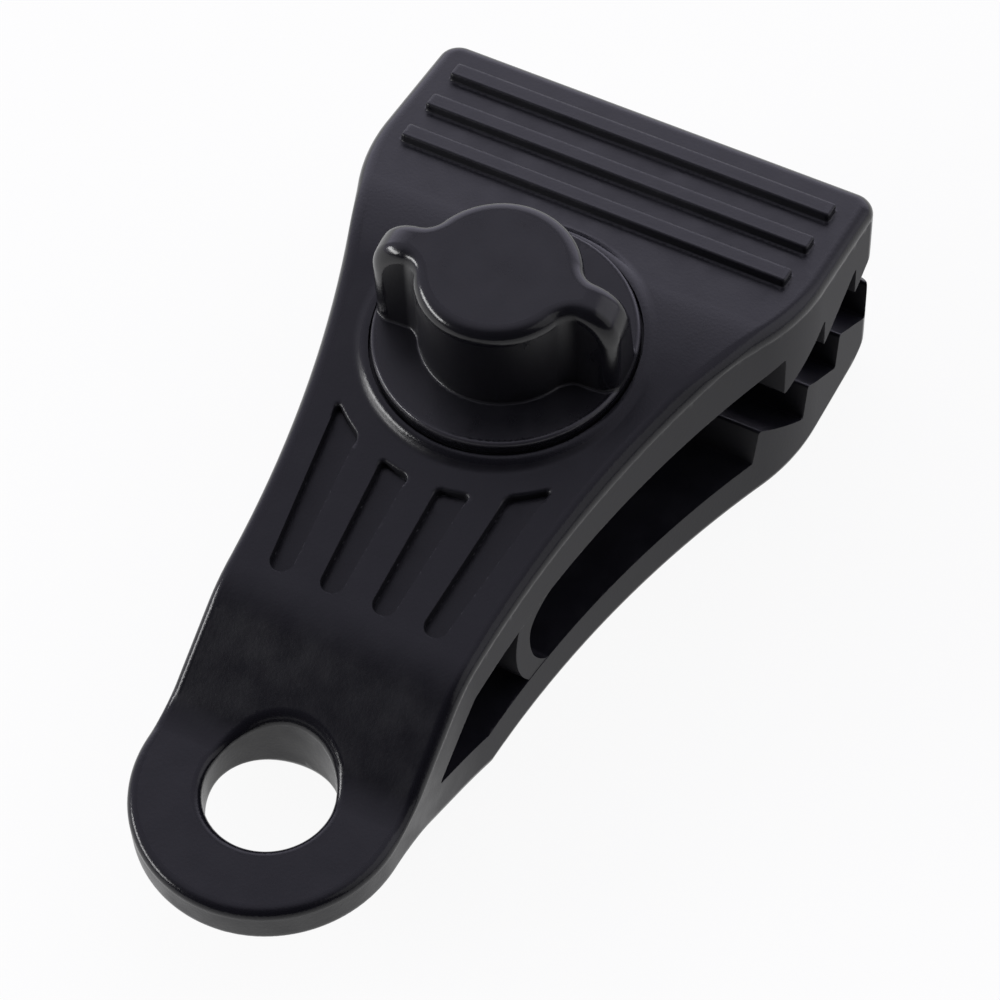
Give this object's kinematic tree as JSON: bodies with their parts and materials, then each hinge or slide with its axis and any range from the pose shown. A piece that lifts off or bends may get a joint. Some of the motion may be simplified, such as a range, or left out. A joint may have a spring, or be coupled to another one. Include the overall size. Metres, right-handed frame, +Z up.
{
  "type": "tarp clip",
  "caption": "Black plastic tarp clip with toothed spring jaws, a winged thumb screw that draws them together and a round eye in the tail for a cord or hook.",
  "frame": {"origin": "centre of the hole in the tail eye, midway through the tail plate", "axes": "+X from the eye towards the jaw tips, +Y to the left, +Z up through the eye towards the thumb knob"},
  "size_m": [0.0815, 0.042, 0.0321],
  "materials": {
    "body": "fine satin mould texture",
    "knob": "smooth moulded, slightly glossy",
    "steel": "zinc plated"
  },
  "bodies": {
    "lower_half": {"tail_eye": "body", "lower_jaw": "body", "flex_neck": "body", "spring_web": "body", "captive_nut": "steel"},
    "upper_half": {"upper_jaw": "body"},
    "thumb_screw": {"thumb_knob": "knob", "clamp_screw": "steel"}
  },
  "joints": [
    {"name": "jaw_hinge", "type": "hinge", "parent": "lower_half", "child": "upper_half", "pos_m": [0.00962, 0, 0.00409], "axis": [0, 1, 0], "range_deg": [0, 4], "stiffness_Nm_per_rad": 0.25, "deforming": ["flex_neck", "spring_web"]},
    {"name": "knob_turn", "type": "hinge", "parent": "upper_half", "child": "thumb_screw", "pos_m": [0.0412, 0, 0.0122], "axis": [0.0698, 0, -0.9976], "range_deg": [0, 805]}
  ],
  "couplings": [
    {"joint": "jaw_hinge", "follows": "knob_turn", "ratio": 0.004965}
  ]
}
